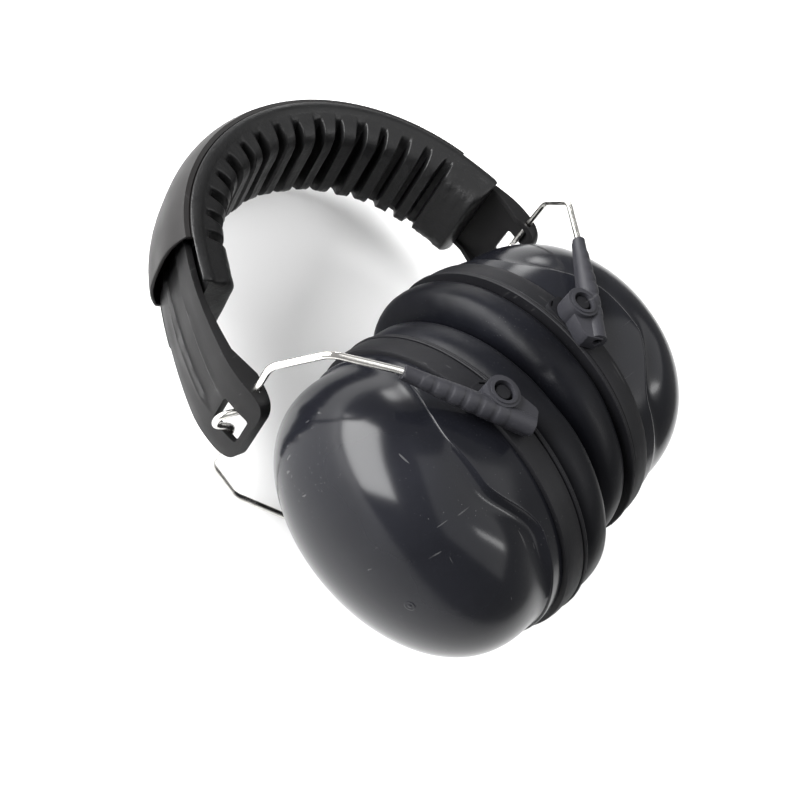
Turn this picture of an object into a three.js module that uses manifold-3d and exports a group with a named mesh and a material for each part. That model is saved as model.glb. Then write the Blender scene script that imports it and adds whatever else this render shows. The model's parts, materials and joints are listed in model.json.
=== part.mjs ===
// Folding-wire earmuffs: a moulded headband with a ribbed pad, two slider arms, a spring-wire
// bail on each arm, and a cup hung between the two clips of each bail.
//
// Design frame, millimetres: X along the ear axis (right cup at +X), Y towards the top of the
// headband, Z towards the wearer's face. The finished assembly is laid on its back side, so it
// rests on the rear clips and on the rear edge of the headband, with +Z up.
import * as THREE from 'three';
import { mergeVertices } from 'three/addons/utils/BufferGeometryUtils.js';
import Module from 'manifold-3d';

const wasm = await Module();
wasm.setup();

// ---------------------------------------------------------------- driving dimensions
const GAP = 0.3;                       // clearance between neighbouring solids

const bendRadius = 62.8;               // radius of the headband's rim line
const bendLength = 72.5;               // half length of that arc, from the crown
const legRadius = 160;                 // flatter curve of the slider arms
const bandCentre = new THREE.Vector2(6, 56);
const bandLean = -0.13;                // the band leans over because one arm is longer

const shellEnd = 71.7;                 // where an arm leaves the headband
const padEnd = 87;
const shellHalfWidth = 17.4;
const shellRim = -2.8;
const shellCrown = 5.6;
const linerTop = -2.35;
const shellWall = 1.2;
const padDepth = 10;

const armHalfWidth = 15.6;
const armOuter = -0.2;
const armThick = 1.5;
const armEngaged = 5;                  // length left inside the headband at full extension
const armTravel = 18;
const armHingeReach = 32.9;            // headband end to hinge, arm fully retracted
const armFoot = 6.6;                   // hinge to the end of the foot
const hingeInset = -3.9;               // hinge axis, inward of the rim line
const windowLength = 9.2;
const windowWidth = 11.6;

const wireRadius = 1.05;
const clipInner = 39.8;                // clip faces, measured from the middle plane
const clipOuter = 46.3;
const clipTube = 2.9;
const eyeRadius = 5.6;
const studRadius = 2.9;

const cupDrop = -5.6;                  // cup centre below its pivots
const baseHigh = 48.7;                 // base ring half axes
const baseWide = 39.2;
const shellStart = 3;
const shellDepth = 47;
const shellLean = 7;                   // the crown of each cup sits this far towards the face
const cupWall = 2.3;
const domeRoot = 0.95;                 // size of the dome's open rim against the base oval
const domeRootInside = 0.895;
const domeSwell = 0.62;                // lower swells faster beside the base
const domeRound = 0.95;
const baseFrom = -5.2;                 // base ring along the ear axis
const baseTo = 2.6;
const baseInside = 0.88;
const bossHeight = [-8, 7];            // flat pad behind each stud
const bossDepth = 4;
const studRoot = 3;
const studShort = 0.6;                 // stud ends below the clip's face
const sealFrom = -7;
const sealTo = -5.5;
const sealHole = 0.62;
const sealSize = 1.005;

const fitClearance = 0.35;             // radial, wire and stud bores
const padTopHalfWidth = 16.4;
const armWall = 1.6;

const extension = { left: armTravel, right: 0 };
const bailTurn = { left: 0, right: -0.16 };

// Bail joints on a right-hand bail, from the hinge: x is outward, y is up.
const pivot = new THREE.Vector2(-38, -44.3);
const wireEntry = new THREE.Vector2(-18.9, -24.1);
const clipTip = new THREE.Vector2(-40.2, -56.4);
const wireKnee = new THREE.Vector3(-7.3, -9.2, 39.8);
const wireShoulder = 26.6;             // where the wire leaves the hinge line
const kinkHalf = 3.2;
const kinkReach = 6.6;

// ---------------------------------------------------------------- solid helpers
function solidOf(geometry) {
  const bare = geometry.clone();
  for (const name of Object.keys(bare.attributes)) {
    if (name !== 'position') bare.deleteAttribute(name);
  }
  const merged = mergeVertices(bare, 1e-4);
  const mesh = new wasm.Mesh({
    numProp: 3,
    vertProperties: new Float32Array(merged.attributes.position.array),
    triVerts: new Uint32Array(merged.index.array),
  });
  return new wasm.Manifold(mesh);
}

function geometryOf(solid) {
  const mesh = solid.getMesh();
  const geometry = new THREE.BufferGeometry();
  geometry.setAttribute('position', new THREE.BufferAttribute(mesh.vertProperties, 3));
  geometry.setIndex(new THREE.BufferAttribute(mesh.triVerts, 1));
  return geometry;
}

function flipped(geometry, x, z) {
  const copy = geometryOf(solidOf(geometry));
  copy.scale(x, 1, z);
  const index = copy.index.array;
  for (let i = 0; i < index.length; i += 3) {
    const first = index[i];
    index[i] = index[i + 1];
    index[i + 1] = first;
  }
  return copy;
}

const mirrored = (geometry) => flipped(geometry, -1, 1);

// A flat outline in XY, thickened from z0 to z1.
function plate(points, z0, z1) {
  const shape = new THREE.Shape(points.map(([x, y]) => new THREE.Vector2(x, y)));
  const geometry = new THREE.ExtrudeGeometry(shape, { depth: z1 - z0, bevelEnabled: false });
  geometry.translate(0, 0, z0);
  return solidOf(geometry);
}

function pinAlongZ(x, y, radius, z0, z1, sides = 24) {
  const geometry = new THREE.CylinderGeometry(radius, radius, z1 - z0, sides);
  geometry.rotateX(Math.PI / 2);
  geometry.translate(x, y, (z0 + z1) / 2);
  return solidOf(geometry);
}

function block(x0, x1, y0, y1, z0, z1) {
  const geometry = new THREE.BoxGeometry(x1 - x0, y1 - y0, z1 - z0);
  geometry.translate((x0 + x1) / 2, (y0 + y1) / 2, (z0 + z1) / 2);
  return solidOf(geometry);
}

// A turned profile of [x, radius] pairs about the ear axis, stretched to an oval.
function ovalTurning(profile, halfHigh, halfWide, sides = 36) {
  const points = profile.map(([x, r]) => new THREE.Vector2(r, x));
  if (THREE.ShapeUtils.isClockWise(points)) points.reverse();
  const geometry = new THREE.LatheGeometry([...points, points[0]], sides);
  geometry.rotateZ(-Math.PI / 2);
  geometry.scale(1, halfHigh, halfWide);
  geometry.translate(0, cupDrop, 0);
  return solidOf(geometry);
}

// ---------------------------------------------------------------- headband line
// Point and outward direction at arc length s from the crown, at a height above the rim line.
function bandPoint(s, height = 0) {
  const side = Math.sign(s) || 1;
  const length = Math.abs(s);
  const bend = bendLength / bendRadius;
  let angle = length / bendRadius;
  let centre = 0;
  let radius = bendRadius;
  if (length > bendLength) {
    angle = bend + (length - bendLength) / legRadius;
    centre = bendRadius - legRadius;
    radius = legRadius;
  }
  const x = centre * Math.sin(bend) + (radius + height) * Math.sin(angle);
  const y = centre * Math.cos(bend) + (radius + height) * Math.cos(angle);
  return new THREE.Vector3(side * x, y, 0);
}

// Point on the arm's own curve, which runs on as one arc where the headband bends more.
function armPoint(s, height = 0) {
  const bend = bendLength / bendRadius;
  const angle = bend + (s - bendLength) / legRadius;
  const centre = bendRadius - legRadius;
  const x = centre * Math.sin(bend) + (legRadius + height) * Math.sin(angle);
  const y = centre * Math.cos(bend) + (legRadius + height) * Math.cos(angle);
  return new THREE.Vector3(x, y, 0);
}

class LineOf extends THREE.Curve {
  constructor(at, from, to) {
    super();
    this.at = at;
    this.from = from;
    this.to = to;
  }
  getPoint(t) {
    return this.at(THREE.MathUtils.lerp(this.from, this.to, t));
  }
}

// A section of [z, height] pairs swept along the line from one arc length to another.
function sweep(at, section, from, to, steps) {
  const shape = new THREE.Shape(section.map(([z, height]) => new THREE.Vector2(z, height)));
  const path = new LineOf(at, from, to);
  return solidOf(new THREE.ExtrudeGeometry(shape, { steps, extrudePath: path, bevelEnabled: false }));
}

function rectangle(halfWidth, low, high) {
  return [[-halfWidth, low], [halfWidth, low], [halfWidth, high], [-halfWidth, high]];
}

// ---------------------------------------------------------------- headband
function headbandShell() {
  const w = shellHalfWidth;
  const inner = w - shellWall;
  const arch = [[w, 3.6], [13.6, 4.8], [7, shellCrown - 0.2], [0, shellCrown]];
  const under = [[inner, 2.9], [12.8, 3.5], [0, shellCrown - shellWall - 0.3]];
  const across = ([z, height]) => [-z, height];
  const section = [
    [w, shellRim], ...arch, ...arch.slice(0, -1).reverse().map(across), [-w, shellRim],
    [-inner, shellRim], ...under.slice(0, -1).map(across), ...under.slice().reverse(),
    [inner, shellRim],
  ];
  return sweep(bandPoint, section, -shellEnd, shellEnd, 36);
}

function headbandLiner() {
  const halfWidth = shellHalfWidth - shellWall - GAP;
  return sweep(bandPoint, rectangle(halfWidth, shellRim, linerTop), -shellEnd, shellEnd, 36);
}

function headbandPad() {
  const top = shellRim - GAP;
  const w = padTopHalfWidth;
  const section = [
    [w, top], [w, top - 2], [w - 2.6, top - 8.4], [w - 5, top - padDepth],
    [5 - w, top - padDepth], [2.6 - w, top - 8.4], [-w, top - 2], [-w, top],
  ];
  return sweep(bandPoint, section, -padEnd, padEnd, 40);
}

// ---------------------------------------------------------------- slider arm
const hingeLength = shellEnd + armHingeReach;

function armWallOutline() {
  const start = shellEnd + GAP;
  const end = hingeLength + armFoot;
  const shallow = -1.9;
  const deep = hingeInset - 2.6;
  const rows = 9;
  const outer = [];
  const inner = [];
  for (let i = 0; i <= rows; i += 1) {
    const s = THREE.MathUtils.lerp(start, end, i / rows);
    const slope = THREE.MathUtils.smoothstep(s, hingeLength - 15, hingeLength - 5);
    const outside = armPoint(s, armOuter);
    const inside = armPoint(s, THREE.MathUtils.lerp(shallow, deep, slope));
    outer.push([outside.x, outside.y]);
    inner.push([inside.x, inside.y]);
  }
  return [...outer, ...inner.reverse()];
}

function sliderArm() {
  const start = shellEnd - armEngaged - armTravel;
  const end = hingeLength + armFoot;
  const top = sweep(armPoint, rectangle(armHalfWidth, armOuter - armThick, armOuter), start, end, 16);
  const wallInside = armHalfWidth - armWall;
  const outline = armWallOutline();
  const front = plate(outline, wallInside, armHalfWidth);
  const rear = plate(outline, -armHalfWidth, -wallInside);
  const half = windowWidth / 2;
  const opening = sweep(armPoint, rectangle(half, -4, 3), hingeLength - windowLength / 2,
    hingeLength + windowLength / 2, 2);
  const hinge = armPoint(hingeLength, hingeInset);
  const bore = pinAlongZ(hinge.x, hinge.y, wireRadius + fitClearance, -armHalfWidth - 1, armHalfWidth + 1, 16);
  return top.add(front).add(rear).subtract(opening).subtract(bore);
}

// ---------------------------------------------------------------- bail and clips
// Straight runs joined by rounded corners.
function bentWire(points, cornerRadius) {
  const path = new THREE.CurvePath();
  let from = points[0];
  for (let i = 1; i < points.length - 1; i += 1) {
    const corner = points[i];
    const back = points[i - 1].clone().sub(corner);
    const ahead = points[i + 1].clone().sub(corner);
    const cut = Math.min(cornerRadius, back.length() / 2.2, ahead.length() / 2.2);
    const enter = corner.clone().add(back.setLength(cut));
    const leave = corner.clone().add(ahead.setLength(cut));
    path.add(new THREE.LineCurve3(from, enter));
    path.add(new THREE.QuadraticBezierCurve3(enter, corner, leave));
    from = leave;
  }
  path.add(new THREE.LineCurve3(from, points[points.length - 1]));
  return path;
}

const alongClip = clipTip.clone().sub(wireEntry).normalize();
const acrossClip = new THREE.Vector2(alongClip.y, -alongClip.x);
const clipLength = clipTip.distanceTo(wireEntry);
const clipMiddle = (clipInner + clipOuter) / 2;

function clipPoint(s, n) {
  return wireEntry.clone().addScaledVector(alongClip, s).addScaledVector(acrossClip, n);
}

function wireBail() {
  const buried = clipPoint(9, 0);
  const half = [
    new THREE.Vector3(0, 0, kinkHalf + 1.2),
    new THREE.Vector3(0, 0, wireShoulder),
    wireKnee,
    new THREE.Vector3(wireEntry.x, wireEntry.y, clipMiddle),
    new THREE.Vector3(buried.x, buried.y, clipMiddle),
  ];
  const kink = [
    new THREE.Vector3(kinkReach, 0, kinkHalf - 1),
    new THREE.Vector3(kinkReach, 0, 1 - kinkHalf),
  ];
  const across = (p) => new THREE.Vector3(p.x, p.y, -p.z);
  const route = [...half.slice().reverse(), ...kink, ...half.map(across)];
  const section = new THREE.Shape();
  section.absarc(0, 0, wireRadius, 0, 2 * Math.PI);
  return solidOf(new THREE.ExtrudeGeometry(section, {
    steps: 76, curveSegments: 4, extrudePath: bentWire(route, 2.4), bevelEnabled: false,
  }));
}

function clip() {
  const eye = pivot.clone().sub(wireEntry);
  const eyeAlong = eye.dot(alongClip);
  const eyeAcross = eye.dot(acrossClip);
  const outline = [
    [0, -clipTube], [clipLength - 1, -clipTube], [clipLength, -clipTube + 1],
    [clipLength, 5], [eyeAlong + eyeRadius - 1, eyeAcross + 3.2], [eyeAlong, eyeAcross + 1],
    [eyeAlong - eyeRadius, clipTube], [0, clipTube],
  ];
  const placed = outline.map(([s, n]) => clipPoint(s, n).toArray());
  const body = plate(placed, clipInner, clipOuter);
  const boss = pinAlongZ(pivot.x, pivot.y, eyeRadius, clipInner, clipOuter);
  const bore = pinAlongZ(pivot.x, pivot.y, studRadius + fitClearance, clipInner - 1, clipOuter + 1);
  const hole = new THREE.CylinderGeometry(wireRadius + fitClearance, wireRadius + fitClearance, 20, 12);
  hole.rotateZ(Math.atan2(alongClip.y, alongClip.x) - Math.PI / 2);
  hole.translate(wireEntry.x, wireEntry.y, clipMiddle);
  return body.add(boss).subtract(bore).subtract(solidOf(hole));
}

// ---------------------------------------------------------------- cup
function cupShell() {
  const rings = 9;
  const outer = [];
  const inner = [];
  for (let i = 0; i <= rings; i += 1) {
    const turn = (i / rings) * (Math.PI / 2);
    const reach = (shellDepth - shellStart) * Math.sin(turn) ** domeSwell;
    const size = Math.cos(turn) ** domeRound;
    outer.push([shellStart + reach, domeRoot * size]);
    inner.push([shellStart + reach * (1 - cupWall / (shellDepth - shellStart)), domeRootInside * size]);
  }
  const upright = geometryOf(ovalTurning([...outer, ...inner.reverse()], baseHigh, baseWide));
  const slant = shellLean / (shellDepth - shellStart);
  const lean = new THREE.Matrix4().set(1, 0, 0, 0, 0, 1, 0, 0, slant, 0, 1, -slant * shellStart, 0, 0, 0, 1);
  return solidOf(upright.applyMatrix4(lean));
}

function cupBase() {
  const section = [
    [baseFrom, baseInside], [baseTo, baseInside], [baseTo, 0.985], [0, 1], [baseFrom, 0.985],
  ];
  let base = ovalTurning(section, baseHigh, baseWide);
  for (const side of [1, -1]) {
    const bossRoot = side > 0 ? baseWide - bossDepth : -baseWide;
    base = base.add(block(baseFrom, baseTo, ...bossHeight, bossRoot, bossRoot + bossDepth));
    const studFrom = side > 0 ? baseWide - studRoot : studShort - clipOuter;
    const studTo = side > 0 ? clipOuter - studShort : studRoot - baseWide;
    base = base.add(pinAlongZ(0, 0, studRadius, studFrom, studTo));
  }
  return base;
}

function sealPlate() {
  const section = [[sealFrom, sealHole], [sealTo, sealHole], [sealTo, sealSize], [sealFrom, sealSize]];
  return ovalTurning(section, baseHigh, baseWide);
}

function earCushion() {
  const section = [
    [-7.3, 0.62], [-7.3, 0.98], [-9.5, 1.0], [-15, 1.005], [-19, 0.985], [-21.6, 0.93],
    [-22.1, 0.85], [-22.1, 0.74], [-21, 0.66], [-18, 0.6], [-12, 0.59],
  ];
  return ovalTurning(section, baseHigh, baseWide, 32);
}

function foamLiner() {
  const section = [[-2, 0], [20, 0], [20, 0.55], [13, 0.76], [0, 0.84], [-2, 0.82]];
  return ovalTurning(section, baseHigh, baseWide, 28);
}

// ---------------------------------------------------------------- assembly
const finish = {
  shellPlastic: { color: 0x3c3a3a, roughness: 0.42, metalness: 0 },
  padFoam: { color: 0x1c1c1d, roughness: 0.5, metalness: 0 },
  armPlastic: { color: 0x444344, roughness: 0.45, metalness: 0 },
  steel: { color: 0xb9b7b0, roughness: 0.2, metalness: 1 },
  clipPlastic: { color: 0x37373c, roughness: 0.6, metalness: 0 },
  cupGloss: { color: 0x2d2e32, roughness: 0.16, metalness: 0 },
  basePlastic: { color: 0x343436, roughness: 0.6, metalness: 0 },
  vinyl: { color: 0x23242a, roughness: 0.45, metalness: 0 },
  foam: { color: 0x2b2b2b, roughness: 0.95, metalness: 0 },
};

function piece(name, geometry, look) {
  const mesh = new THREE.Mesh(geometry, new THREE.MeshStandardMaterial(finish[look]));
  mesh.name = name;
  return mesh;
}

function cup(side, hand) {
  const group = new THREE.Group();
  const parts = [
    ['cup_shell', cupShell(), 'cupGloss'],
    ['cup_base', cupBase(), 'basePlastic'],
    ['seal_plate', sealPlate(), 'basePlastic'],
    ['ear_cushion', earCushion(), 'vinyl'],
    ['foam_liner', foamLiner(), 'foam'],
  ];
  for (const [name, solid, look] of parts) {
    group.add(piece(`${name}_${side}`, hand(geometryOf(solid)), look));
  }
  return group;
}

function bail(side, hand) {
  const group = new THREE.Group();
  const front = geometryOf(clip());
  const rear = flipped(front, 1, -1);
  group.add(piece(`wire_bail_${side}`, hand(geometryOf(wireBail())), 'steel'));
  group.add(piece(`clip_${side}_front`, hand(front), 'clipPlastic'));
  group.add(piece(`clip_${side}_rear`, hand(rear), 'clipPlastic'));
  return group;
}

const band = new THREE.Group();
band.position.set(bandCentre.x, bandCentre.y, 0);
band.rotation.z = bandLean;
band.add(piece('headband_shell', geometryOf(headbandShell()), 'shellPlastic'));
band.add(piece('headband_liner', geometryOf(headbandLiner()), 'armPlastic'));
band.add(piece('headband_pad', geometryOf(headbandPad()), 'padFoam'));

const bend = bendLength / bendRadius;
const legCentre = new THREE.Vector2(Math.sin(bend), Math.cos(bend)).multiplyScalar(bendRadius - legRadius);
const hinge = armPoint(hingeLength, hingeInset);

for (const side of ['left', 'right']) {
  const out = side === 'left' ? -1 : 1;
  const hand = out < 0 ? mirrored : (geometry) => geometry;

  // The arm slides on its own arc, so sliding is a turn about that arc's centre.
  const slide = -out * (extension[side] / legRadius);
  const arm = new THREE.Group();
  arm.position.set(out * legCentre.x, legCentre.y, 0);
  arm.rotation.z = slide;
  const armSolid = hand(geometryOf(sliderArm()));
  armSolid.translate(-out * legCentre.x, -legCentre.y, 0);
  arm.add(piece(`slider_arm_${side}`, armSolid, 'armPlastic'));
  band.add(arm);

  const swing = new THREE.Group();
  swing.position.set(out * (hinge.x - legCentre.x), hinge.y - legCentre.y, 0);
  swing.rotation.z = bailTurn[side] - slide - bandLean;
  const hung = bail(side, hand);
  swing.add(hung);
  arm.add(swing);

  const tilt = new THREE.Group();
  tilt.position.set(out * pivot.x, pivot.y, 0);
  tilt.rotation.z = -bailTurn[side];
  tilt.add(cup(side, hand));
  swing.add(tilt);
}

// Laid down: the rear clips and the rear edge of the headband carry it.
const restClip = wireEntry.y - pivot.y;
const restBand = bandCentre.y + bendRadius + shellCrown;
const lay = Math.atan2(clipOuter - shellHalfWidth, restBand - restClip);
const earmuffs = new THREE.Group();
const laid = new THREE.Group();
laid.rotation.x = -lay;
laid.add(band);
earmuffs.add(laid);
earmuffs.updateMatrixWorld(true);
const box = new THREE.Box3().setFromObject(earmuffs, true);
laid.position.set(-(box.min.x + box.max.x) / 2, -(box.min.y + box.max.y) / 2, -box.min.z);

export default earmuffs;
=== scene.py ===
"""Earmuffs with wire bails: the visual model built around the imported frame.

Each part is modelled in millimetres in its own design frame, the one the CAD part uses, and is
then carried into the row frame by a matrix that comes from the frame's joints.
"""
import json
import math

import bmesh
import bpy
from mathutils import Matrix, Vector, noise

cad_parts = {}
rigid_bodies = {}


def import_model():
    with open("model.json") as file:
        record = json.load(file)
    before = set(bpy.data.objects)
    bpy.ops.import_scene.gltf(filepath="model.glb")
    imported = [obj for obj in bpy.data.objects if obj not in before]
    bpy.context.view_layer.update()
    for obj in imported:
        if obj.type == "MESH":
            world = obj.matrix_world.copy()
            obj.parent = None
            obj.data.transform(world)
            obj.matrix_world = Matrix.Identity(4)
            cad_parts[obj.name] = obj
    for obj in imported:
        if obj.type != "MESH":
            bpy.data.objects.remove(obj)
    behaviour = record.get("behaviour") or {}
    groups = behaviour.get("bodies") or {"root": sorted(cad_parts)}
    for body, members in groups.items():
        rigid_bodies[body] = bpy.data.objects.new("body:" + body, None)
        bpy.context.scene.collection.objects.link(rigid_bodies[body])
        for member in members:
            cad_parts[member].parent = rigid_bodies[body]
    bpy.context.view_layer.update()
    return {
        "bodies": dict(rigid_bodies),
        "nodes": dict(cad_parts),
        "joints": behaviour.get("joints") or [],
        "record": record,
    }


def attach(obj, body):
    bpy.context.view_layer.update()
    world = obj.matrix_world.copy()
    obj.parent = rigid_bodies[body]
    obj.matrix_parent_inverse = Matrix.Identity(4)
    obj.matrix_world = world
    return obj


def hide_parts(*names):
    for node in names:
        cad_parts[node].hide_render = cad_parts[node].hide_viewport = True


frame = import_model()
joints = {joint["name"]: joint for joint in frame["joints"]}
SIDES = {"left": -1, "right": 1}

# ---------------------------------------------------------------- driving sizes, millimetres
MM = 0.001
BEND_RADIUS = 62.8
BEND_LENGTH = 72.5
LEG_RADIUS = 160.0
BAND_LEAN = -0.13
SHELL_END = 71.7
SHELL_HALF_WIDTH = 17.4
SHELL_RIM = -2.8
CROWN = 5.0
PAD_TOP = -3.1
PAD_END = 87.0
PAD_HALF_WIDTH = 16.4
PAD_DEPTH = 10.0
RIB_PITCH = 9.2
GROOVES = 16
ARM_HALF_WIDTH = 15.6
ARM_TRAVEL = 18.0
ARM_ENGAGED = 5.0
HINGE_LENGTH = SHELL_END + 32.9
HINGE_INSET = -3.9
ARM_FOOT = 6.6
WIRE_RADIUS = 1.05
CLIP_INNER = 39.8
CLIP_OUTER = 46.3
CUP_DROP = -5.6
BASE_HIGH = 48.7
BASE_WIDE = 39.2
SHELL_START = 3.0
SHELL_DEPTH = 47.0
SHELL_LEAN = 7.0
CLOTH_TURNS = 96
CLOTH_AROUND = 24
CLOTH_PRESSURE = 150.0
CLOTH_CAP = 1.1
GRIPS = 6
GRIP_PITCH = 4.4
BARREL_RADIUS = 2.9
GRIP_RISE = 0.3
WINDOW_HALF_LONG = 4.6
WINDOW_HALF_WIDE = 5.8
EXTENSION = {"left": ARM_TRAVEL, "right": 0.0}
BAIL_TURN = {"left": 0.0, "right": -0.16}

PIVOT = Vector((-38.0, -44.3))
WIRE_ENTRY = Vector((-18.9, -24.1))
CLIP_TIP = Vector((-40.2, -56.4))
KNEE = Vector((-7.3, -9.2, 39.8))
SHOULDER = 26.6
KINK_HALF = 3.4
KINK_REACH = 6.6

# The camera's lens, axes and place, measured from a centre in the headband's design frame.
LENS = 51.84
CAMERA_RIGHT = Vector((0.6299, -0.6567, 0.4146))
CAMERA_UP = Vector((0.4347, 0.7405, 0.5125))
CAMERA_PLACE = Vector((-238.1, -29.7, 261.5))
CAMERA_CENTRE = Vector((6, 56, 0))


# ---------------------------------------------------------------- frames
def joint_place(name):
    """Matrix to the row frame from a design frame whose origin is on that joint's axis."""
    axis = Vector(joints["cup_tilt_left"]["axis"])
    lay = math.atan2(axis.y, axis.z)
    spot = Matrix.Translation(joints[name]["pos_m"])
    return spot @ Matrix.Rotation(-lay, 4, "X")


def hand(side):
    return Matrix.Diagonal((SIDES[side] * MM, MM, MM, 1))


def leg_centre():
    """Centre of the flatter arc, in the headband's frame, on the +X side."""
    bend = BEND_LENGTH / BEND_RADIUS
    return Vector((math.sin(bend), math.cos(bend), 0)) * (BEND_RADIUS - LEG_RADIUS)


def band_place():
    back = Matrix.Translation(Vector((leg_centre().x, -leg_centre().y, 0)) * MM)
    return joint_place("slider_left") @ Matrix.Rotation(BAND_LEAN, 4, "Z") @ back


def arm_place(side):
    out = SIDES[side]
    centre = Vector((out * leg_centre().x, leg_centre().y, 0)) * MM
    slide = Matrix.Rotation(-out * EXTENSION[side] / LEG_RADIUS, 4, "Z")
    return band_place() @ Matrix.Translation(centre) @ slide @ Matrix.Translation(-centre) @ hand(side)


def bail_place(side):
    return joint_place(f"bail_swing_{side}") @ Matrix.Rotation(BAIL_TURN[side], 4, "Z") @ hand(side)


def cup_place(side):
    return joint_place(f"cup_tilt_{side}") @ hand(side)


def on_arc(s, height, bend_radius):
    """Point at arc length s from the crown, at a height above the rim line."""
    side = -1 if s < 0 else 1
    length = abs(s)
    bend = BEND_LENGTH / BEND_RADIUS
    centre = 0.0
    radius = BEND_RADIUS
    angle = length / BEND_RADIUS
    if length > BEND_LENGTH or not bend_radius:
        centre = BEND_RADIUS - LEG_RADIUS
        radius = LEG_RADIUS
        angle = bend + (length - BEND_LENGTH) / LEG_RADIUS
    x = centre * math.sin(bend) + (radius + height) * math.sin(angle)
    y = centre * math.cos(bend) + (radius + height) * math.cos(angle)
    return side * x, y


def band_point(s, z, height):
    x, y = on_arc(s, height, True)
    return Vector((x, y, z))


def arm_point(s, z, height):
    x, y = on_arc(s, height, False)
    return Vector((x, y, z))


# ---------------------------------------------------------------- mesh helpers
def mix(a, b, t):
    return a + (b - a) * t


def smooth(t):
    t = min(max(t, 0.0), 1.0)
    return t * t * (3 - 2 * t)


def spread(low, high, count):
    return [mix(low, high, i / count) for i in range(count + 1)]


def mesh_of(name, verts, faces):
    mesh = bpy.data.meshes.new(name)
    mesh.from_pydata([tuple(v) for v in verts], [], faces)
    return mesh


def skin(rings, closed=False, caps=True):
    """Vertices and faces of a tube skinned over rings of points; closed joins the last to the first."""
    verts = [point for ring in rings for point in ring]
    size = len(rings[0])
    faces = []
    last = len(rings) if closed else len(rings) - 1
    for i in range(last):
        j = (i + 1) % len(rings)
        for k in range(size):
            m = (k + 1) % size
            faces.append((i * size + k, i * size + m, j * size + m, j * size + k))
    if caps and not closed:
        faces.append(tuple(range(size))[::-1])
        faces.append(tuple((len(rings) - 1) * size + k for k in range(size)))
    return verts, faces


def solid(name, verts, faces):
    """A new object with outward faces, in millimetres, not yet placed."""
    mesh = mesh_of(name, verts, faces)
    work = bmesh.new()
    work.from_mesh(mesh)
    bmesh.ops.remove_doubles(work, verts=work.verts, dist=1e-4)
    bmesh.ops.recalc_face_normals(work, faces=work.faces)
    work.to_mesh(mesh)
    work.free()
    obj = bpy.data.objects.new(name, mesh)
    bpy.context.scene.collection.objects.link(obj)
    return obj


def apply_modifiers(obj):
    bpy.context.view_layer.update()
    done = bpy.data.meshes.new_from_object(obj.evaluated_get(bpy.context.evaluated_depsgraph_get()))
    old = obj.data
    obj.modifiers.clear()
    obj.data = done
    bpy.data.meshes.remove(old)


def boolean(target, other, operation):
    cut = target.modifiers.new("cut", "BOOLEAN")
    cut.operation = operation
    cut.solver = "EXACT"
    cut.object = other
    apply_modifiers(target)
    bpy.data.objects.remove(other)


def prism(name, outline, low, high, axis="Z"):
    """An outline of (a, b) pairs, thickened along the axis that the pair leaves out."""
    orders = {
        "Z": lambda a, b, c: (a, b, c),
        "Y": lambda a, b, c: (a, c, b),
        "X": lambda a, b, c: (c, a, b),
    }
    order = orders[axis]
    size = len(outline)
    verts = [order(a, b, c) for c in (low, high) for a, b in outline]
    faces = [tuple(range(size))[::-1], tuple(range(size, 2 * size))]
    faces += [(k, (k + 1) % size, size + (k + 1) % size, size + k) for k in range(size)]
    return solid(name, verts, faces)


def disc(x, y, radius, sides=32):
    return [(x + radius * math.cos(2 * math.pi * k / sides), y + radius * math.sin(2 * math.pi * k / sides))
            for k in range(sides)]


def round_corners(points, radius, steps=5):
    """The outline with each corner replaced by a short curve."""
    result = []
    count = len(points)
    for k in range(count):
        corner = Vector(points[k])
        before = Vector(points[k - 1]) - corner
        after = Vector(points[(k + 1) % count]) - corner
        reach = min(radius, before.length / 2.1, after.length / 2.1)
        start = corner + before.normalized() * reach
        end = corner + after.normalized() * reach
        for i in range(steps + 1):
            t = i / steps
            spot = start * (1 - t) ** 2 + corner * 2 * t * (1 - t) + end * t * t
            result.append(tuple(spot))
    return result


def bevel(obj, width, segments=2, angle=35):
    edge = obj.modifiers.new("edge", "BEVEL")
    edge.width = width
    edge.segments = segments
    edge.limit_method = "ANGLE"
    edge.angle_limit = math.radians(angle)
    edge.harden_normals = False
    apply_modifiers(obj)


def finish_piece(obj, place, body, nodes, material, angle=40):
    """Carries a millimetre mesh into the row frame, gives it its body and look, and hides the CAD nodes it
    stands for.
    """
    obj.data.transform(place)
    work = bmesh.new()
    work.from_mesh(obj.data)
    bmesh.ops.recalc_face_normals(work, faces=work.faces)
    limit = math.radians(angle)
    for face in work.faces:
        face.smooth = True
    for edge in work.edges:
        edge.smooth = not edge.is_manifold or edge.calc_face_angle(0) < limit
    work.to_mesh(obj.data)
    work.free()
    obj.data.materials.clear()
    obj.data.materials.append(material)
    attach(obj, body)
    if nodes:
        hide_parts(*nodes)
    return obj


def rough(point, scale, seed=0.0):
    """Smooth noise from -1 to 1 at a point in millimetres; scale is the size of its bumps."""
    return noise.noise(Vector((point[0] + seed, point[1] - seed, point[2] + 2 * seed)) / scale)


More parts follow.
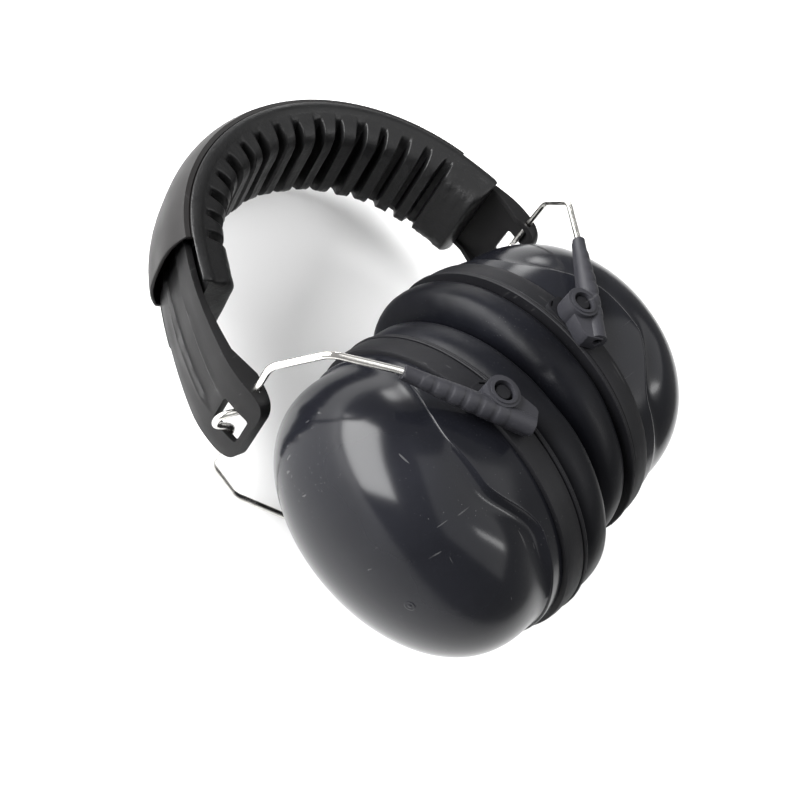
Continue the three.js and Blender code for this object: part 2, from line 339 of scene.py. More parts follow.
# ---------------------------------------------------------------- materials
class Look:
    """Builds one node material: base colour mottling, roughness variation and bump layers."""

    def __init__(self, name, colour, roughness, specular=0.5, metallic=0.0):
        self.material = bpy.data.materials.new(name)
        self.material.use_nodes = True
        self.tree = self.material.node_tree
        self.shader = self.tree.nodes["Principled BSDF"]
        self.shader.inputs["Base Color"].default_value = (*colour, 1)
        self.shader.inputs["Roughness"].default_value = roughness
        self.shader.inputs["Metallic"].default_value = metallic
        self.shader.inputs["Specular IOR Level"].default_value = specular
        self.where = self.tree.nodes.new("ShaderNodeTexCoord").outputs["Object"]
        self.colour = None
        self.base = colour
        self.rough_now = None
        self.rough_base = roughness
        self.height = None

    def node(self, kind, **settings):
        made = self.tree.nodes.new(kind)
        for key, value in settings.items():
            setattr(made, key, value)
        return made

    def link(self, source, target):
        self.tree.links.new(source, target)

    def stretched(self, scale):
        """Object coordinates stretched by a factor along each axis."""
        mapping = self.node("ShaderNodeMapping")
        mapping.inputs["Scale"].default_value = scale
        self.link(self.where, mapping.inputs["Vector"])
        return mapping.outputs["Vector"]

    def noise(self, scale, detail=3.0, roughness=0.5, stretch=None):
        field = self.node("ShaderNodeTexNoise")
        field.inputs["Scale"].default_value = scale
        field.inputs["Detail"].default_value = detail
        field.inputs["Roughness"].default_value = roughness
        self.link(self.stretched(stretch) if stretch else self.where, field.inputs["Vector"])
        return field.outputs["Fac"]

    def cells(self, scale, feature="F1", stretch=None):
        field = self.node("ShaderNodeTexVoronoi", feature=feature)
        field.inputs["Scale"].default_value = scale
        self.link(self.stretched(stretch) if stretch else self.where, field.inputs["Vector"])
        return field.outputs["Distance"]

    def ramp(self, value, low, high, out_low=0.0, out_high=1.0):
        step = self.node("ShaderNodeMapRange")
        step.inputs["From Min"].default_value = low
        step.inputs["From Max"].default_value = high
        step.inputs["To Min"].default_value = out_low
        step.inputs["To Max"].default_value = out_high
        self.link(value, step.inputs["Value"])
        return step.outputs["Result"]

    def times(self, a, b):
        product = self.node("ShaderNodeMath", operation="MULTIPLY")
        self.link(a, product.inputs[0])
        if isinstance(b, float):
            product.inputs[1].default_value = b
        else:
            self.link(b, product.inputs[1])
        return product.outputs[0]

    def tint(self, mask, colour):
        """Mixes a colour in where the mask is one."""
        blend = self.node("ShaderNodeMix", data_type="RGBA")
        if self.colour is None:
            blend.inputs["A"].default_value = (*self.base, 1)
        else:
            self.link(self.colour, blend.inputs["A"])
        blend.inputs["B"].default_value = (*colour, 1)
        self.link(mask, blend.inputs["Factor"])
        self.colour = blend.outputs["Result"]

    def roughen(self, mask, amount):
        """Moves roughness by an amount where the mask is one."""
        step = self.node("ShaderNodeMath", operation="MULTIPLY_ADD", use_clamp=True)
        self.link(mask, step.inputs[0])
        step.inputs[1].default_value = amount
        if self.rough_now is None:
            step.inputs[2].default_value = self.rough_base
        else:
            self.link(self.rough_now, step.inputs[2])
        self.rough_now = step.outputs[0]

    def bump(self, value, distance, strength=1.0):
        """Adds a bump layer whose height is the distance in metres."""
        layer = self.node("ShaderNodeBump")
        layer.inputs["Distance"].default_value = distance
        layer.inputs["Strength"].default_value = strength
        self.link(value, layer.inputs["Height"])
        if self.height is not None:
            self.link(self.height, layer.inputs["Normal"])
        self.height = layer.outputs["Normal"]

    def dust(self, amount=0.5, scale=900.0):
        """Sparse pale specks, in patches, that sit on the surface."""
        speck = self.ramp(self.cells(scale), 0.1, 0.06)
        patch = self.ramp(self.noise(60.0, 2.0), 0.5, 0.68)
        self.tint(self.times(self.times(speck, patch), 0.5 * amount), (0.16, 0.16, 0.16))

    def scratches(self, amount=0.5):
        """A few hair-fine marks: noise stretched hard in two directions, thresholded to thin lines."""
        for stretch, scale in (((1, 22, 4), 46.0), ((20, 1, 7), 41.0)):
            line = self.ramp(self.noise(scale, 1.0, 0.4, stretch), 0.735, 0.745)
            broken = self.ramp(self.noise(70.0, 1.0), 0.56, 0.62)
            mark = self.times(line, broken)
            self.tint(self.times(mark, 0.22 * amount), (0.12, 0.12, 0.12))
            self.roughen(mark, 0.12 * amount)

    def done(self):
        if self.colour is not None:
            self.link(self.colour, self.shader.inputs["Base Color"])
        if self.rough_now is not None:
            self.link(self.rough_now, self.shader.inputs["Roughness"])
        if self.height is not None:
            self.link(self.height, self.shader.inputs["Normal"])
        return self.material


def satin_plastic(name, colour, roughness, grain=0.00002, specular=0.22):
    look = Look(name, colour, roughness, specular=specular)
    look.tint(look.ramp(look.noise(35.0, 4.0), 0.35, 0.75), tuple(c * 1.18 for c in colour))
    look.roughen(look.ramp(look.noise(90.0, 5.0), 0.3, 0.7), 0.1)
    look.bump(look.noise(2600.0, 2.0), grain)
    look.scratches(0.6)
    look.dust(0.5)
    return look.done()


def gloss_plastic():
    look = Look("cup_gloss", (0.0038, 0.004, 0.0054), 0.17, specular=0.17)
    look.tint(look.ramp(look.noise(25.0, 3.0), 0.4, 0.8), (0.0075, 0.0078, 0.010))
    look.roughen(look.ramp(look.noise(40.0, 4.0), 0.45, 0.75), 0.04)
    look.bump(look.noise(45.0, 1.0), 0.00018)
    look.scratches(1.0)
    look.dust(0.8, 700.0)
    return look.done()


def pad_foam():
    look = Look("pad_foam", (0.004, 0.004, 0.0042), 0.36, specular=0.2)
    look.roughen(look.ramp(look.noise(120.0, 5.0), 0.3, 0.7), 0.16)
    look.bump(look.noise(300.0, 4.0, 0.55), 0.00022)
    look.bump(look.cells(1500.0), 0.00004)
    look.dust(0.6, 1100.0)
    return look.done()


def soft_vinyl():
    look = Look("soft_vinyl", (0.002, 0.0021, 0.003), 0.36, specular=0.075)
    look.tint(look.ramp(look.noise(30.0, 4.0), 0.4, 0.75), (0.0045, 0.0048, 0.0068))
    look.roughen(look.ramp(look.noise(70.0, 5.0), 0.35, 0.7), 0.12)
    look.bump(look.noise(110.0, 3.0, 0.5), 0.0002)
    look.dust(0.9, 1000.0)
    return look.done()


def open_foam():
    look = Look("open_foam", (0.02, 0.02, 0.021), 0.95, specular=0.2)
    pores = look.cells(900.0)
    # Painted shade: the pore pits keep the darker base colour and the rims between them are tinted lighter,
    # so the hollows that the bump sinks are painted darker.
    look.tint(look.ramp(pores, 0.0, 0.6), (0.032, 0.032, 0.033))
    look.bump(pores, 0.0006)
    look.bump(look.noise(300.0, 5.0), 0.0004)
    return look.done()


def polished_wire():
    look = Look("polished_wire", (0.7, 0.69, 0.66), 0.16, metallic=1.0)
    look.roughen(look.ramp(look.noise(260.0, 4.0), 0.4, 0.7), 0.14)
    look.tint(look.ramp(look.noise(90.0, 4.0), 0.55, 0.8), (0.52, 0.5, 0.47))
    look.bump(look.noise(900.0, 3.0), 0.00003)
    return look.done()


SHELL_PLASTIC = satin_plastic("shell_plastic", (0.0065, 0.006, 0.006), 0.4, specular=0.14)
ARM_PLASTIC = satin_plastic("arm_plastic", (0.0042, 0.0041, 0.0043), 0.38, specular=0.13)
CLIP_PLASTIC = satin_plastic("clip_plastic", (0.011, 0.011, 0.0135), 0.5, 0.00005)
BASE_PLASTIC = satin_plastic("base_plastic", (0.0032, 0.0032, 0.004), 0.5, 0.00004, 0.13)
CUP_GLOSS = gloss_plastic()
PAD_FOAM = pad_foam()
VINYL = soft_vinyl()
FOAM = open_foam()
WIRE = polished_wire()


# ---------------------------------------------------------------- headband
def crown_height(z):
    """Outer height of the arched shell above the rim line."""
    return 0.6 + (CROWN - 0.6) * (1 - abs(z / SHELL_HALF_WIDTH) ** 3.2)


def headband_shell():
    w = SHELL_HALF_WIDTH - 0.3
    inner = w - 1.2
    outer_half = [(w, SHELL_RIM), (w + 0.25, -2.3), (w + 0.25, -1.5), (w - 0.15, -1.2), (w - 0.15, -0.8),
                  (w + 0.1, -0.5), (w, 0.2)]
    arch = [(z, crown_height(z)) for z in spread(w - 0.1, 0.1 - w, 30)]
    under = [(z, crown_height(z) - 1.1) for z in spread(0.1 - inner, inner - 0.1, 18)]
    section = outer_half + arch + [(-z, h) for z, h in outer_half[::-1]]
    section += [(-inner, SHELL_RIM)] + under + [(inner, SHELL_RIM)]
    rings = [[band_point(s, z, h) for z, h in section] for s in spread(-SHELL_END, SHELL_END, 150)]
    obj = solid("band_shell", *skin(rings))
    bevel(obj, 0.3, 2, 50)
    place = band_place() @ hand("right")
    return finish_piece(obj, place, "headband", ["headband_shell"], SHELL_PLASTIC)


def rib_rise(s):
    """One on a rib's crest and zero on a groove's floor."""
    first = -(GROOVES - 1) / 2 * RIB_PITCH
    nearest = min(max(round((s - first) / RIB_PITCH), 0), GROOVES - 1)
    away = abs(s - first - nearest * RIB_PITCH)
    return smooth((away - 1.2) / 1.2)


def headband_pad():
    around = 26
    groove_floor = 4.1
    rings = []
    for s in spread(-PAD_END, PAD_END, 620):
        end = min(1.0, (PAD_END - abs(s)) / 2.6)
        end_round = (1 - (1 - end) ** 2) ** 0.5
        lean = 0.25 * math.sin(s * 0.31) + 0.2 * math.sin(s * 1.07)
        depth = mix(groove_floor, PAD_DEPTH + 0.2 * math.sin(s * 0.23), rib_rise(s + lean))
        depth = mix(1.2, depth, end_round)
        w = PAD_HALF_WIDTH - 0.8 * (1 - end_round)
        flange = [(w - 0.4, 0.0), (w + 1.0, 0.1), (w + 1.05, 1.8), (w + 1.3, 2.1), (w + 1.55, 1.8),
                  (w + 1.6, 0.4), (w + 1.4, -0.7), (w + 0.7, -1.5)]
        lower = []
        for k in range(around + 1):
            turn = math.pi * k / around
            reach = math.copysign(abs(math.cos(turn)) ** 0.3, math.cos(turn))
            drop = max(math.sin(turn), 0.0) ** 0.5
            slope = 2.6 * drop * depth / PAD_DEPTH
            lower.append((reach * (w + 0.4 - slope), -2.0 - max(depth - 2.0, 0.05) * drop))
        section = flange + lower + [(-z, h) for z, h in flange[::-1]]
        placed = []
        for z, h in section:
            spot = band_point(s, z, PAD_TOP + h)
            crinkle = 0.28 * rough(spot, 3.0) + 0.16 * rough(spot, 1.3, 7.0)
            loose = smooth(-h / 3.0)
            placed.append(band_point(s, z + crinkle * loose * 0.8, PAD_TOP + h + crinkle * loose))
        rings.append(placed)
    obj = solid("ribbed_pad", *skin(rings))
    finish_piece(obj, band_place() @ hand("right"), "headband", ["headband_pad"], PAD_FOAM, 60)
    return obj


# ---------------------------------------------------------------- slider arms
def arm_flat():
    """The arm laid out flat: x is length from the crown, y is height, z is width."""
    start = SHELL_END - ARM_ENGAGED - ARM_TRAVEL
    end = HINGE_LENGTH + ARM_FOOT
    w = ARM_HALF_WIDTH
    top = 0.3
    deep = HINGE_INSET - 2.6
    foot = [(start, -w), (end - 5, -w), (end - 1.5, -w + 1.5), (end, -w + 5), (end, w - 5),
            (end - 1.5, w - 1.5), (end - 5, w), (start, w)]
    outline = foot[:1] + round_corners(foot, 2.6)[6:-6] + foot[-1:]
    obj = prism("arm", [(a, b) for a, b in outline], deep, top, "Y")
    inner = w - 1.8
    stop = end - 3.2
    hollow = round_corners([(start - 2, -inner), (stop, -inner), (stop, inner), (start - 2, inner)], 3.5)
    boolean(obj, prism("hollow", hollow, deep - 2, -1.6, "Y"), "DIFFERENCE")
    shallow = -1.65
    low_side = [(start - 2, shallow), (SHELL_END, shallow), (HINGE_LENGTH - 14, shallow - 1.2),
                (HINGE_LENGTH - 4.5, deep), (HINGE_LENGTH - 4.5, deep - 3), (start - 2, deep - 3)]
    boolean(obj, prism("low_side", low_side, -w - 2, w + 2), "DIFFERENCE")
    near = HINGE_LENGTH - WINDOW_HALF_LONG
    far = HINGE_LENGTH + WINDOW_HALF_LONG
    wide = WINDOW_HALF_WIDE
    window = round_corners([(near, -wide), (far, -wide), (far, wide), (near, wide)], 1.2)
    boolean(obj, prism("window", window, -4, 2, "Y"), "DIFFERENCE")
    bore = prism("bore", disc(HINGE_LENGTH, HINGE_INSET, WIRE_RADIUS + 0.25, 20), -w - 2, w + 2)
    boolean(obj, bore, "DIFFERENCE")
    return obj


def slice_lengths(obj, step):
    """Cuts across the length so that the flat arm can bend smoothly."""
    work = bmesh.new()
    work.from_mesh(obj.data)
    low = min(v.co.x for v in work.verts)
    high = max(v.co.x for v in work.verts)
    for x in spread(low + step, high - step, int((high - low) / step)):
        whole = work.verts[:] + work.edges[:] + work.faces[:]
        bmesh.ops.bisect_plane(work, geom=whole, plane_co=(x, 0, 0), plane_no=(1, 0, 0), dist=1e-4)
    work.to_mesh(obj.data)
    work.free()


def slice_widths(obj, places):
    """Cuts the flat arm lengthwise at the given widths, so that its channel can be shaped."""
    work = bmesh.new()
    work.from_mesh(obj.data)
    for z in places:
        parts = work.verts[:] + work.edges[:] + work.faces[:]
        bmesh.ops.bisect_plane(work, geom=parts, plane_co=(0, 0, z), plane_no=(0, 0, 1))
    work.to_mesh(obj.data)
    work.free()


def slider_arm(side):
    """Bends the flat arm along its arc, narrows it above the foot and curls the foot inward."""
    obj = arm_flat()
    obj.name = f"arm_{side}"
    bevel(obj, 0.35, 3, 40)
    slice_lengths(obj, 2.0)
    cuts = (0.0, 1.5, 3.0, 4.0, 4.5, 5.0, 5.5, 6.0, 6.6, 8.0, 11.0)
    slice_widths(obj, [way * w for way in (-1, 1) for w in cuts])
    deep = HINGE_INSET - 2.6
    for vertex in obj.data.vertices:
        s, height, z = vertex.co
        hidden = smooth((SHELL_END - ARM_TRAVEL - s) / 4)
        narrow = mix(0.86, 1.0, smooth((s - HINGE_LENGTH + 44) / 40)) - 0.12 * hidden
        crown = 0.7 * (1 - (z / ARM_HALF_WIDTH) ** 2) - 0.5 * hidden if height > -0.8 else 0
        curl = max(s - HINGE_LENGTH + 13, 0.0) ** 2 / 95.0
        if height > -0.2:
            edge = mix(6.2, 4.4, (s - SHELL_END) / (HINGE_LENGTH - SHELL_END))
            crown -= 0.95 * smooth((edge - abs(z)) / 1.3) * smooth((HINGE_LENGTH - 5.2 - s) / 7)
            crown += 0.25 * math.exp(-((abs(z) - edge - 0.5) / 0.7) ** 2) * smooth((HINGE_LENGTH - 8 - s) / 6)
        upper = (height - deep) / (0.3 - deep)
        vertex.co = arm_point(s, z * narrow, height + crown - curl * upper)
    nodes = [f"slider_arm_{side}"]
    return finish_piece(obj, arm_place(side), f"arm_{side}", nodes, ARM_PLASTIC, 30)


# ---------------------------------------------------------------- wire bails
ALONG = (CLIP_TIP - WIRE_ENTRY).normalized()
ACROSS = Vector((ALONG.y, -ALONG.x))
CLIP_LENGTH = (CLIP_TIP - WIRE_ENTRY).length
CLIP_MIDDLE = (CLIP_INNER + CLIP_OUTER) / 2


def clip_spot(s, n, z):
    spot = WIRE_ENTRY + ALONG * s + ACROSS * n
    return Vector((spot.x, spot.y, z))


def rounded_route(points, radius, steps=7):
    """Points along straight runs joined by rounded corners."""
    route = [points[0]]
    for before, corner, after in zip(points, points[1:], points[2:]):
        back = before - corner
        ahead = after - corner
        reach = min(radius, back.length / 2.2, ahead.length / 2.2)
        start = corner + back.normalized() * reach
        end = corner + ahead.normalized() * reach
        for i in range(steps + 1):
            t = i / steps
            route.append(start * (1 - t) ** 2 + corner * 2 * t * (1 - t) + end * t * t)
    return route + [points[-1]]


def tube(name, route, radius, sides=18):
    rings = []
    tangent = (route[1] - route[0]).normalized()
    side = tangent.orthogonal().normalized()
    for i, spot in enumerate(route):
        ahead = route[min(i + 1, len(route) - 1)] - route[max(i - 1, 0)]
        tangent = ahead.normalized()
        side = (side - tangent * side.dot(tangent)).normalized()
        other = tangent.cross(side)
        rings.append([spot + (side * math.cos(a) + other * math.sin(a)) * radius
                      for a in spread(0, 2 * math.pi * (1 - 1 / sides), sides - 1)])
    return solid(name, *skin(rings))


def wire_bail(side):
    half = [Vector((0, 0, KINK_HALF + 1.2)), Vector((0, 0, SHOULDER)), KNEE,
            clip_spot(0, 0, CLIP_MIDDLE), clip_spot(9, 0, CLIP_MIDDLE)]
    kink = [Vector((KINK_REACH * 0.92, KINK_REACH * 0.4, z)) for z in (KINK_HALF - 0.8, 0.8 - KINK_HALF)]
    across = [Vector((p.x, p.y, -p.z)) for p in half]
    route = rounded_route(half[::-1] + kink + across, 2.6)
    obj = tube(f"bail_wire_{side}", route, WIRE_RADIUS)
    nodes = [f"wire_bail_{side}"]
    return finish_piece(obj, bail_place(side), f"bail_{side}", nodes, WIRE, 60)


# ---------------------------------------------------------------- clips
def clip_outline():
    """Outline of the clip's flat body in clip coordinates, without the web."""
    half = 1.7
    return [(0, half), (0, -half), (CLIP_LENGTH - 1.2, -half), (CLIP_LENGTH, -half + 1.0), (CLIP_LENGTH, 4.2),
            (CLIP_LENGTH - 0.8, 5.2)]


def clip_barrel():
    """The round socket that holds the wire, with a row of raised grips."""
    sides = 32
    rings = []
    for s in spread(0.2, CLIP_LENGTH - 0.5, 160):
        along = (s - 5.0) / GRIP_PITCH
        place = (along % 1.0) / 0.74
        on_grip = 0 <= along < GRIPS and place < 1
        rise = GRIP_RISE * math.sin(math.pi * place) ** 0.35 if on_grip else 0.0
        ring = []
        for k in range(sides):
            a = 2 * math.pi * k / sides
            radius = BARREL_RADIUS + rise * smooth(0.6 - math.cos(a))
            height = max(CLIP_MIDDLE + radius * math.sin(a), CLIP_INNER + 0.05)
            ring.append(clip_spot(s, radius * math.cos(a), height))
        rings.append(ring)
    return solid("barrel", *skin(rings))


def clip_bridge():
    """The web from the tube up to the eye."""
    eye = PIVOT - WIRE_ENTRY
    along = eye.dot(ALONG)
    across = eye.dot(ACROSS)
    return [(CLIP_LENGTH - 0.8, 5.2), (along + 4.2, across + 2.9), (along, across), (along - 4.6, 2.6),
            (along - 9, 1.9), (along - 14, 1.9)]


def spread_along(points):
    """Clip coordinates to design XY."""
    placed = []
    for s, n in points:
        spot = clip_spot(s, n, 0)
        placed.append((spot.x, spot.y))
    return placed


def clip(side, end):
    turn = 1 if end == "front" else -1
    outline = clip_outline() + clip_bridge()
    obj = prism(f"clip_{end}_{side}", spread_along(outline), CLIP_INNER, CLIP_OUTER - 1.4)
    boolean(obj, clip_barrel(), "UNION")
    boolean(obj, prism("eye", disc(PIVOT.x, PIVOT.y, 5.0, 48), CLIP_INNER, CLIP_OUTER), "UNION")
    boolean(obj, prism("lip", disc(PIVOT.x, PIVOT.y, 4.1, 48), CLIP_OUTER - 1, CLIP_OUTER + 0.4), "UNION")
    boolean(obj, prism("bore", disc(PIVOT.x, PIVOT.y, 3.1, 40), CLIP_INNER - 1, CLIP_OUTER + 1), "DIFFERENCE")
    bevel(obj, 0.45, 3, 50)
    for s, radius in ((-5.0, WIRE_RADIUS + 0.2), (CLIP_LENGTH - 3.0, 1.5)):
        drill = tube("drill", [clip_spot(s, 0, CLIP_MIDDLE), clip_spot(s + 14, 0, CLIP_MIDDLE)], radius)
        boolean(obj, drill, "DIFFERENCE")
    for vertex in obj.data.vertices:
        flat = Vector(vertex.co[:2]) - WIRE_ENTRY
        s = flat.dot(ALONG)
        n = flat.dot(ACROSS)
        slim = mix(0.68, 1.0, smooth((s - 1) / 20))
        vertex.co = clip_spot(s, n * slim, CLIP_MIDDLE + (vertex.co.z - CLIP_MIDDLE) * slim)
    if turn < 0:
        obj.data.transform(Matrix.Diagonal((1, 1, -1, 1)))
    nodes = [f"clip_{side}_{end}"]
    return finish_piece(obj, bail_place(side), f"bail_{side}", nodes, CLIP_PLASTIC, 35)


# ---------------------------------------------------------------- cups
def oval(turn, x, off=0.0, size=1.0):
    """Point on the cup's oval: x along the ear axis, off along the oval's own normal."""
    y = BASE_HIGH * math.cos(turn)
    z = BASE_WIDE * math.sin(turn)
    normal = Vector((0, math.cos(turn) / BASE_HIGH, math.sin(turn) / BASE_WIDE)).normalized()
    return Vector((x, size * y + CUP_DROP, size * z)) + normal * off


def oval_ring(name, section, turns=180):
    """A closed section of (x, off) pairs carried round the oval."""
    rings = [[oval(2 * math.pi * k / turns, x, off) for x, off in section] for k in range(turns)]
    return solid(name, *skin(rings, closed=True))


def crease_line(turn):
    """How far out the moulded skirt reaches: low round the ends, high beside the pivots."""
    y = BASE_HIGH * math.cos(turn) + 3.8
    along = y / 40.0 if y > 0 else -y / 27.0
    return 8.9 + 10.9 * smooth(1.25 * (1 - along))


def valley(turn, beyond):
    """Depth of the hollow between the skirt and the bulging crown, deepest below the pivots."""
    y = BASE_HIGH * math.cos(turn)
    reach = smooth((y + 50) / 16) * smooth((8 - y) / 26)
    ease = beyond / 3.5
    return (0.35 + 1.5 * reach) * ease * math.exp(1 - ease)


def dome_point(turn, x, off):
    rise = max(x - SHELL_START, 0.0) / (SHELL_DEPTH - SHELL_START)
    t = math.asin(min(rise ** (1 / 0.62), 1.0))
    spot = oval(turn, x, off, 0.95 * max(math.cos(t), 0.0) ** 0.95)
    return spot + Vector((0, 0, SHELL_LEAN * rise))


def cup_shell(side):
    turns = 220
    skirt_rows = 10
    dome_rows = 54
    skirt_proud = 0.55
    rings = []
    for k in range(turns):
        turn = 2 * math.pi * k / turns
        line = crease_line(turn)
        strip = [(SHELL_START, -3.0), (SHELL_START, skirt_proud)]
        strip += [(x, skirt_proud) for x in spread(SHELL_START + 0.4, line - 0.5, skirt_rows)]
        strip += [(line - 0.15, skirt_proud * 0.9), (line + 0.05, skirt_proud * 0.45), (line + 0.15, 0.0)]
        for i in range(1, dome_rows):
            eased = math.sin(i / dome_rows * math.pi / 2) ** 0.9
            x = mix(line + 0.15, SHELL_DEPTH, eased)
            strip.append((x, -valley(turn, x - line)))
        rings.append([dome_point(turn, x, off) for x, off in strip])
    verts = [point for ring in rings for point in ring]
    size = len(rings[0])
    faces = []
    for k in range(turns):
        m = (k + 1) % turns
        faces += [(k * size + i, m * size + i, m * size + i + 1, k * size + i + 1) for i in range(size - 1)]
    tip = len(verts)
    verts.append(Vector((SHELL_DEPTH, CUP_DROP, SHELL_LEAN)))
    faces += [(k * size + size - 1, (k + 1) % turns * size + size - 1, tip) for k in range(turns)]
    faces.append(tuple(k * size for k in range(turns)))
    obj = solid(f"cup_{side}", verts, faces)
    nodes = [f"cup_shell_{side}"]
    return finish_piece(obj, cup_place(side), f"cup_{side}", nodes, CUP_GLOSS, 50)


def gate_mark(side):
    """The small round mark left on the crown by moulding."""
    turn = 2.774
    x = 44.1
    centre = dome_point(turn, x, 0)
    along = (dome_point(turn + 0.03, x, 0) - dome_point(turn - 0.03, x, 0)).normalized()
    out = along.cross(dome_point(turn, x - 0.5, 0) - dome_point(turn, x + 0.5, 0)).normalized()
    out = out if out.x > 0 else -out
    other = out.cross(along)
    rows = [(0.05, 0.16), (0.35, 0.14), (0.6, 0.02), (0.8, -0.02), (1.15, 0.1), (1.5, 0.06), (1.8, -0.15),
            (0.05, -0.2)]
    rings = [[centre + (along * math.cos(a) + other * math.sin(a)) * radius + out * lift
              for a in spread(0, 2 * math.pi * (1 - 1 / 24), 23)] for radius, lift in rows]
    obj = solid(f"gate_mark_{side}", *skin(rings))
    return finish_piece(obj, cup_place(side), f"cup_{side}", [], CUP_GLOSS, 60)


def cup_base(side):
    section = [(-5.2, -5), (-5.2, -0.3), (-5.0, 0.0), (-3.0, 0.0), (0.0, 0.0), (1.8, -0.2), (2.5, -0.4),
               (2.75, -0.9), (2.75, -5)]
    obj = oval_ring(f"base_{side}", section)
    for turn in (1, -1):
        low, high = sorted((turn * (BASE_WIDE - 4), turn * (BASE_WIDE + 0.2)))
        pad = round_corners([(-4.8, -8), (2.3, -8), (2.3, 7), (-4.8, 7)], 2.0)
        boolean(obj, prism("boss", pad, low, high), "UNION")
        low, high = sorted((turn * (BASE_WIDE - 1.5), turn * (BASE_WIDE + 2)))
        notch = [(-3.6, 5.2), (-1.6, 6.4), (-1.9, 6.9), (-3.9, 5.7)]
        boolean(obj, prism("notch", notch, low, high), "DIFFERENCE")
        low, high = sorted((turn * (BASE_WIDE - 3), turn * (CLIP_OUTER - 0.25)))
        stud = prism("stud", disc(0, 0, 2.3, 40), low, high)
        bevel(stud, 0.5, 3, 60)
        boolean(obj, stud, "UNION")
    bevel(obj, 0.2, 2, 50)
    nodes = [f"cup_base_{side}"]
    return finish_piece(obj, cup_place(side), f"cup_{side}", nodes, BASE_PLASTIC, 30)


def seal_plate(side):
    turns = 720
    rings = []
    for k in range(turns):
        turn = 2 * math.pi * k / turns
        flash = 0.4 + 0.1 * max(rough(oval(turn, 0), 1.1, 5.0), 0.0)
        section = [(-7.0, -18), (-7.0, 0.0), (-6.8, 0.28), (-6.5, 0.32), (-6.4, flash), (-6.25, flash),
                   (-6.15, 0.32), (-5.75, 0.32), (-5.5, 0.1), (-5.45, -18)]
        rings.append([oval(turn, x, off) for x, off in section])
    obj = solid(f"plate_{side}", *skin(rings, closed=True))
    nodes = [f"seal_plate_{side}"]
    return finish_piece(obj, cup_place(side), f"cup_{side}", nodes, BASE_PLASTIC, 30)


def cushion_spot(turn, a):
    """Point on the plain ring cushion and its outward direction; a runs round its section."""
    lift = math.copysign(abs(math.cos(a)) ** 0.62, math.cos(a))
    reach = math.copysign(abs(math.sin(a)) ** 0.7, math.sin(a))
    spot = oval(turn, -14.7 - 7.1 * lift, 0, 0.796 + 0.197 * reach)
    normal = Vector((-lift, 0, 0)) + (oval(turn, 0, 1) - oval(turn, 0)) * reach
    return spot, normal.normalized(), reach


def inflate_cushion():
    """How far each point of a coarse cushion moves when cloth is blown up from inside."""
    rings = [[cushion_spot(2 * math.pi * k / CLOTH_TURNS, 2 * math.pi * m / CLOTH_AROUND)[0]
              for m in range(CLOTH_AROUND)] for k in range(CLOTH_TURNS)]
    obj = solid("cushion_cloth", *skin(rings, closed=True))
    held = obj.vertex_groups.new(name="held")
    held.add([v.index for v in obj.data.vertices if v.co.x > -9.4], 1.0, "REPLACE")
    obj.data.transform(Matrix.Scale(MM, 4))
    cloth = obj.modifiers.new("cloth", "CLOTH")
    cloth.settings.quality = 6
    cloth.settings.mass = 0.2
    cloth.settings.tension_stiffness = 2
    cloth.settings.compression_stiffness = 2
    cloth.settings.shear_stiffness = 2
    cloth.settings.bending_stiffness = 0.05
    cloth.settings.use_pressure = True
    cloth.settings.uniform_pressure_force = CLOTH_PRESSURE
    cloth.settings.vertex_group_mass = "held"
    cloth.settings.effector_weights.gravity = 0
    cloth.collision_settings.use_collision = False
    for frame in range(1, 21):
        bpy.context.scene.frame_set(frame)
    blown = obj.evaluated_get(bpy.context.evaluated_depsgraph_get()).data.vertices
    moves = []
    for k, ring in enumerate(rings):
        row = []
        for m, start in enumerate(ring):
            move = blown[k * CLOTH_AROUND + m].co / MM - start
            row.append(move * min(1.0, CLOTH_CAP / max(move.length, 0.001)))
        moves.append(row)
    bpy.context.scene.frame_set(1)
    bpy.data.objects.remove(obj)
    return moves


def blend_moves(moves, turn, a):
    """Reads the coarse moves between their points."""
    u = turn / (2 * math.pi) * CLOTH_TURNS
    v = a / (2 * math.pi) * CLOTH_AROUND
    k = int(u)
    m = int(v)
    near = moves[k % CLOTH_TURNS]
    far = moves[(k + 1) % CLOTH_TURNS]
    low = near[m % CLOTH_AROUND].lerp(near[(m + 1) % CLOTH_AROUND], v - m)
    high = far[m % CLOTH_AROUND].lerp(far[(m + 1) % CLOTH_AROUND], v - m)
    return low.lerp(high, u - k)


def ear_cushion(side, moves):
    turns = 220
    around = 44
    rings = []
    for k in range(turns):
        turn = 2 * math.pi * k / turns
        gather = rough(oval(turn, 0), 5.5, 3.0) * 0.7 + rough(oval(turn, 0), 2.6, 9.0) * 0.35
        ring = []
        for m in range(around):
            a = 2 * math.pi * m / around
            spot, normal, reach = cushion_spot(turn, a)
            swell = 0.3 * rough(spot, 14.0, 1.0) + gather * smooth(-reach)
            ring.append(spot + normal * swell + blend_moves(moves, turn, a))
        rings.append(ring)
    obj = solid(f"cushion_{side}", *skin(rings, closed=True))
    nodes = [f"ear_cushion_{side}"]
    finish_piece(obj, cup_place(side), f"cup_{side}", nodes, VINYL, 60)
    return obj


def foam_liner(side):
    rings = []
    rows = [(-2.0, 0.02), (-2.2, 0.3), (-2.1, 0.55), (-1.8, 0.76), (-1.0, 0.83), (2.0, 0.835), (13.0, 0.75),
            (19.0, 0.5), (19.5, 0.02)]
    for x, size in rows:
        ring = []
        for turn in spread(0, 2 * math.pi * (1 - 1 / 120), 119):
            spot = oval(turn, x, 0, size)
            dent = 0.5 * rough(spot, 9.0, 4.0)
            ring.append(spot + Vector((dent, 0, 0)))
        rings.append(ring)
    obj = solid(f"liner_{side}", *skin(rings))
    nodes = [f"foam_liner_{side}"]
    finish_piece(obj, cup_place(side), f"cup_{side}", nodes, FOAM, 60)
    return obj


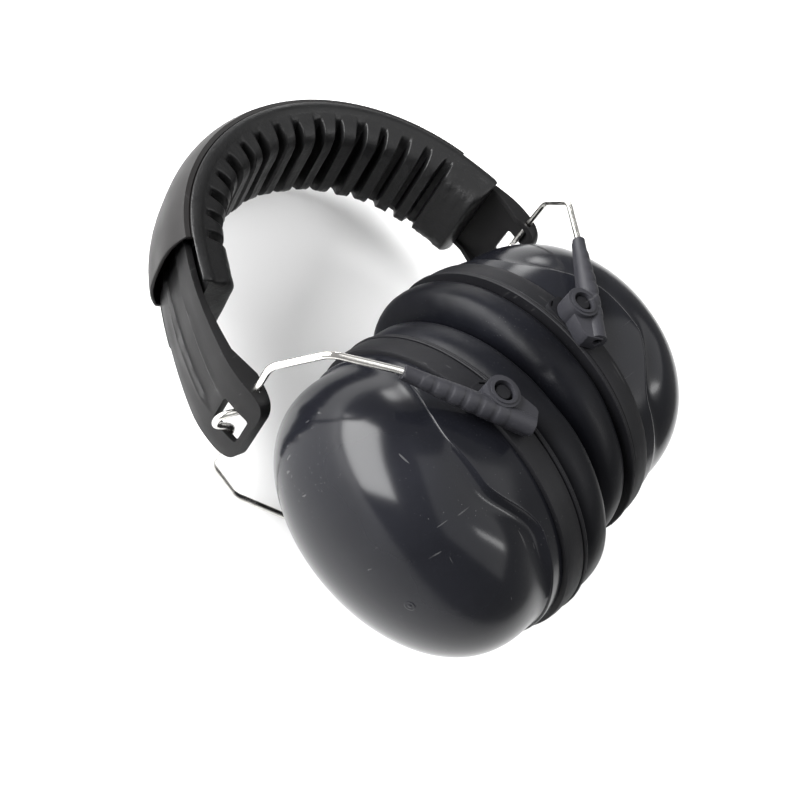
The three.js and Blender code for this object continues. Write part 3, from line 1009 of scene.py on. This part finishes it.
blown_cushion = inflate_cushion()
headband_shell()
headband_pad()
liner = frame["nodes"]["headband_liner"]
liner.data.materials.clear()
liner.data.materials.append(ARM_PLASTIC)
for side in SIDES:
    slider_arm(side)
    wire_bail(side)
    for end in ("front", "rear"):
        clip(side, end)
    cup_shell(side)
    gate_mark(side)
    cup_base(side)
    seal_plate(side)
    ear_cushion(side, blown_cushion)
    foam_liner(side)


# ---------------------------------------------------------------- floor, light and camera
def floor():
    mesh = mesh_of("floor", [(-3, -3, 0), (3, -3, 0), (3, 3, 0), (-3, 3, 0)], [(0, 1, 2, 3)])
    obj = bpy.data.objects.new("floor", mesh)
    bpy.context.scene.collection.objects.link(obj)
    look = Look("pale_floor", (0.86, 0.86, 0.86), 0.8, specular=0.2)
    look.tint(look.ramp(look.noise(3.0, 2.0), 0.3, 0.7), (0.88, 0.88, 0.88))
    mesh.materials.append(look.done())


def aim(obj, target):
    heading = (Vector(target) - obj.location).to_track_quat("-Z", "Y")
    obj.rotation_euler = heading.to_euler()


def softbox(name, place, target, size, power):
    data = bpy.data.lights.new(name, "AREA")
    data.shape = "RECTANGLE"
    data.size, data.size_y = size
    data.energy = power
    obj = bpy.data.objects.new(name, data)
    bpy.context.scene.collection.objects.link(obj)
    obj.location = place
    aim(obj, target)


def world_light(strength):
    world = bpy.data.worlds.new("studio")
    world.use_nodes = True
    back = world.node_tree.nodes["Background"]
    back.inputs["Color"].default_value = (1, 1, 1, 1)
    back.inputs["Strength"].default_value = strength
    bpy.context.scene.world = world


def camera():
    """The camera stands in the headband's design frame; its axes are given in that frame."""
    data = bpy.data.cameras.new("camera")
    data.lens = LENS
    data.sensor_width = 36
    data.clip_start = 0.02
    obj = bpy.data.objects.new("camera", data)
    bpy.context.scene.collection.objects.link(obj)
    right = CAMERA_RIGHT
    up = (CAMERA_UP - right * CAMERA_UP.dot(right) / right.length_squared).normalized()
    right = right.normalized()
    back = right.cross(up)
    turn = Matrix((right, up, back)).transposed().to_4x4()
    turn.translation = CAMERA_PLACE * MM
    lay = joint_place("cup_tilt_left").to_3x3().to_4x4()
    origin = band_place() @ Vector((0, 0, 0))
    centre = CAMERA_CENTRE * MM
    obj.matrix_world = Matrix.Translation(origin) @ lay @ Matrix.Translation(-centre) @ turn
    bpy.context.scene.camera = obj


bpy.context.scene.view_settings.view_transform = "Standard"
floor()
world_light(0.4)
softbox("key", (-0.66, 0.84, 0.4), (-0.09, -0.03, 0.07), (1.5, 0.66), 74)
softbox("rim", (0.75, 0.85, 0.2), (-0.05, 0, 0.07), (0.16, 0.2), 1.2)
softbox("streak", (0.34, -0.42, 0.9), (-0.09, -0.05, 0.07), (0.12, 0.5), 2.5)
softbox("overhead", (0.35, -0.3, 1.7), (0, 0, 0.05), (2.4, 2.4), 30)
camera()

bpy.context.view_layer.update()
